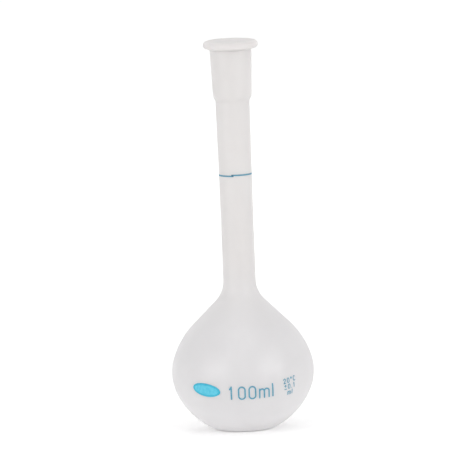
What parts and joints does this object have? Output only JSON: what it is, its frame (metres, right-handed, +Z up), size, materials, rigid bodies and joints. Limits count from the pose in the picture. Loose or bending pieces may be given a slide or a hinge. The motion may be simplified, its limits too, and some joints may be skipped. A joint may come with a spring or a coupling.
{
  "type": "volumetric flask",
  "caption": "Translucent plastic volumetric flask with a round bulb, a long neck with a printed measure ring, and a flat-headed tapered stopper that lifts out.",
  "frame": {"origin": "on the flask's axis, on the surface it stands on", "axes": "+Z up along the flask's axis, the printed marks face -Y"},
  "size_m": [0.0606, 0.0606, 0.1668],
  "materials": {
    "flask_plastic": "milky translucent polypropylene, satin moulded skin",
    "stopper_plastic": "milky translucent polypropylene, satin moulded skin",
    "ring_ink": "printed blue line",
    "mark_ink": "screen-printed blue ink",
    "frame_ink": "screen-printed cyan ink",
    "field_ink": "screen-printed cyan ink, a little paler than its border"
  },
  "bodies": {
    "flask": {"flask_body": "flask_plastic", "graduation_ring": "ring_ink", "capacity_mark": "mark_ink", "field_frame": "frame_ink", "field_blank": "field_ink", "calibration_note": "mark_ink"},
    "stopper": {"stopper": "stopper_plastic"}
  },
  "joints": [
    {"name": "stopper_lift", "type": "slide", "parent": "flask", "child": "stopper", "axis": [0, 0, 1], "range_m": [0, 0.045]}
  ]
}
